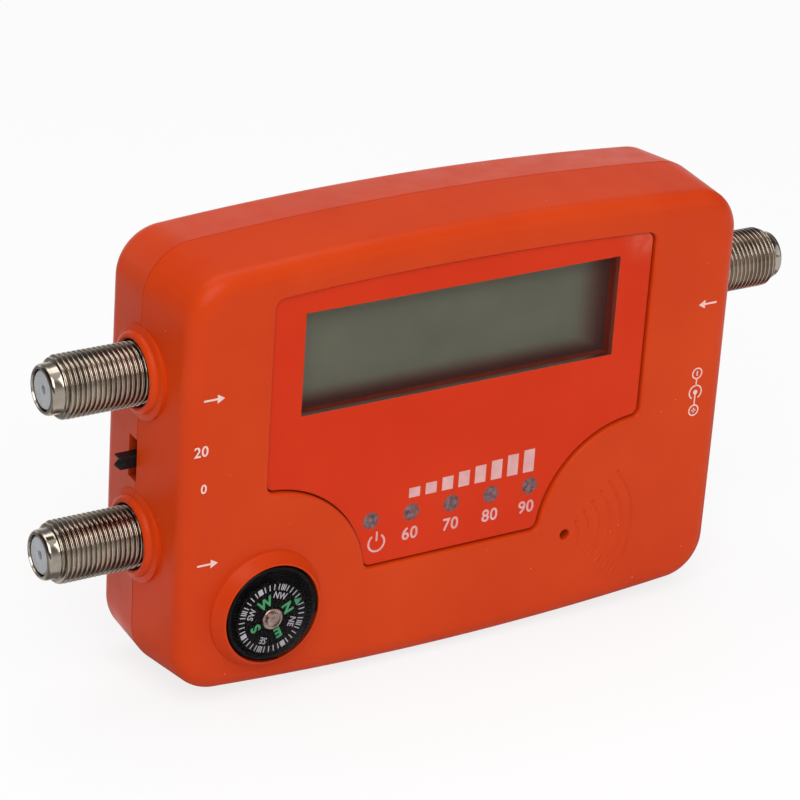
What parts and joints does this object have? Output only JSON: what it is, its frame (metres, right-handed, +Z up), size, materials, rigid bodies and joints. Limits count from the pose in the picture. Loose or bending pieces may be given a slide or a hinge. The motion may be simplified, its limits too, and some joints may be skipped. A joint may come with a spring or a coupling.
{
  "type": "satellite signal meter",
  "caption": "Handheld satellite signal meter: two-part orange case, display, level LEDs, compass, F-type sockets on both sides, attenuator switch and power socket.",
  "frame": {"origin": "under the middle of the meter, at the height of the lowest point of its case; the meter stands upright on its bottom edge", "axes": "+X to the right across the width, from the satellite and antenna sockets to the receiver socket; +Y to the back, so the display and the compass face -Y; +Z up"},
  "size_m": [0.13, 0.0284, 0.0714],
  "materials": {
    "shell_plastic": "satin orange-red moulding",
    "clear_panel": "glossy clear sheet, printed orange-red behind",
    "display_face": "unlit grey-green display glass",
    "light_guide": "milky acrylic",
    "black_plastic": "matt black",
    "black_gloss": "glossy black",
    "contact_rubber": "matt dark rubber",
    "board_laminate": "green lacquer",
    "steel": "zinc plated",
    "led_epoxy": "cloudy epoxy",
    "clear_dome": "clear acrylic",
    "card_ink": "printed black card",
    "nickel": "nickel plated",
    "insulator_plastic": "pale grey plastic",
    "gold_plate": "gold plated",
    "tinned_sheet": "tinned sheet",
    "magnet_steel": "dark magnet steel",
    "sleeve_plastic": "dark blue sleeve",
    "ferrite": "dark ferrite"
  },
  "bodies": {
    "case": {"front_shell": "shell_plastic", "rear_shell": "shell_plastic", "window_panel": "clear_panel", "display_glass": "display_face", "display_backlight": "light_guide", "display_holder": "black_plastic", "display_contact_strip": "contact_rubber", "main_board": "board_laminate", "board_screw_1": "steel", "board_screw_2": "steel", "board_screw_3": "steel", "board_screw_4": "steel", "case_screw_1": "steel", "case_screw_2": "steel", "case_screw_3": "steel", "case_screw_4": "steel", "power_led": "led_epoxy", "level_60_led": "led_epoxy", "level_70_led": "led_epoxy", "level_80_led": "led_epoxy", "level_90_led": "led_epoxy", "buzzer": "black_plastic", "compass_capsule": "black_gloss", "compass_lens": "clear_dome", "compass_needle": "nickel", "satellite_socket": "nickel", "satellite_insulator": "insulator_plastic", "satellite_contact": "gold_plate", "antenna_socket": "nickel", "antenna_insulator": "insulator_plastic", "antenna_contact": "gold_plate", "receiver_socket": "nickel", "receiver_insulator": "insulator_plastic", "receiver_contact": "gold_plate", "switch_can": "steel", "switch_base": "black_plastic", "power_socket_body": "black_plastic", "power_socket_pin": "nickel", "power_socket_spring": "nickel", "tuner_shield": "tinned_sheet", "controller_chip": "black_plastic", "crystal": "steel", "voltage_regulator": "black_plastic", "input_capacitor": "sleeve_plastic", "output_capacitor": "sleeve_plastic", "power_coil": "ferrite"},
    "knob": {"switch_knob": "black_gloss"},
    "card": {"compass_card": "card_ink", "compass_magnet": "magnet_steel", "compass_cap": "nickel"}
  },
  "joints": [
    {"name": "switch_slider", "type": "slide", "parent": "case", "child": "knob", "axis": [0, 0, 1], "range_m": [-0.001, 0.001]},
    {"name": "compass_turn", "type": "hinge", "parent": "case", "child": "card", "pos_m": [-0.034, 0, 0.0143], "axis": [0, -1, 0], "continuous": true}
  ]
}
